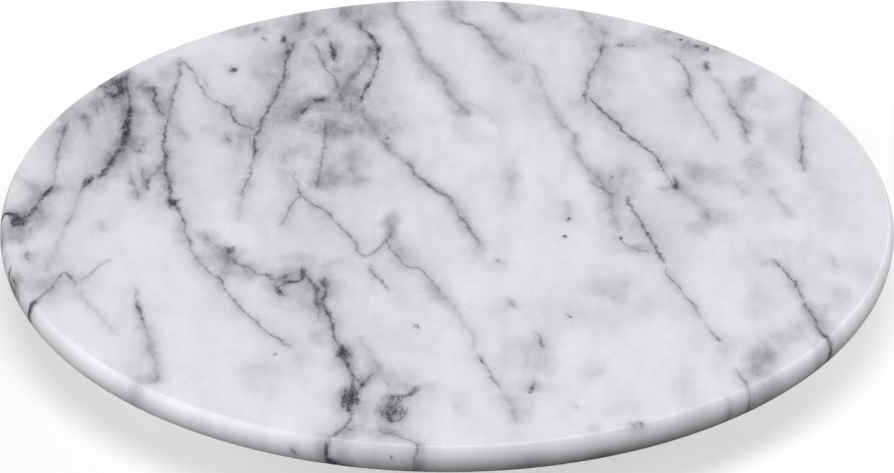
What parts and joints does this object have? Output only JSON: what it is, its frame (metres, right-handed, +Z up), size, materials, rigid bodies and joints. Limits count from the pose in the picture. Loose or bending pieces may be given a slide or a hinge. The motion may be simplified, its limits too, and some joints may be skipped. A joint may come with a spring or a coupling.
{
  "type": "lazy susan turntable",
  "caption": "Round marble serving turntable that spins on a hidden ball-bearing swivel above a smaller wooden base disc with rubber feet.",
  "frame": {"origin": "on the axis of rotation, in the plane that the feet stand on", "axes": "+Z up along the axis of rotation; +X and +Y along the lines through opposite feet, with the pictured side facing -Y"},
  "size_m": [0.305, 0.305, 0.032],
  "materials": {
    "marble": "polished white marble, grey veins",
    "wood": "oiled acacia",
    "rubber": "matte black",
    "zinc_steel": "galvanised sheet",
    "screw_steel": "bright zinc plate",
    "ball_steel": "ground and polished",
    "brass": "turned",
    "nylon": "natural moulded nylon",
    "foam": "closed-cell foam"
  },
  "bodies": {
    "base": {"base_disc": "wood", "bearing_lower_ring": "zinc_steel", "lower_screws": "screw_steel", "foot_washers": "screw_steel", "foot_screws": "screw_steel", "rubber_foot_1": "rubber", "rubber_foot_2": "rubber", "rubber_foot_3": "rubber", "rubber_foot_4": "rubber"},
    "ball_set": {"ball_cage": "nylon", "bearing_ball_01": "ball_steel", "bearing_ball_02": "ball_steel", "bearing_ball_03": "ball_steel", "bearing_ball_04": "ball_steel", "bearing_ball_05": "ball_steel", "bearing_ball_06": "ball_steel", "bearing_ball_07": "ball_steel", "bearing_ball_08": "ball_steel", "bearing_ball_09": "ball_steel", "bearing_ball_10": "ball_steel", "bearing_ball_11": "ball_steel", "bearing_ball_12": "ball_steel", "bearing_ball_13": "ball_steel", "bearing_ball_14": "ball_steel", "bearing_ball_15": "ball_steel", "bearing_ball_16": "ball_steel", "bearing_ball_17": "ball_steel", "bearing_ball_18": "ball_steel", "bearing_ball_19": "ball_steel", "bearing_ball_20": "ball_steel", "bearing_ball_21": "ball_steel", "bearing_ball_22": "ball_steel", "bearing_ball_23": "ball_steel", "bearing_ball_24": "ball_steel"},
    "platter": {"marble_slab": "marble", "cushion_gasket": "foam", "bearing_upper_ring": "zinc_steel", "upper_screws": "screw_steel", "upper_lock_washers": "screw_steel", "stone_insert_1": "brass", "stone_insert_2": "brass", "stone_insert_3": "brass", "stone_insert_4": "brass"}
  },
  "joints": [
    {"name": "platter_turn", "type": "hinge", "parent": "base", "child": "platter", "pos_m": [0, 0, 0.017], "axis": [0, 0, 1], "continuous": true},
    {"name": "cage_turn", "type": "hinge", "parent": "base", "child": "ball_set", "pos_m": [0, 0, 0.017], "axis": [0, 0, 1], "continuous": true}
  ],
  "couplings": [
    {"joint": "cage_turn", "follows": "platter_turn", "ratio": 0.5}
  ]
}
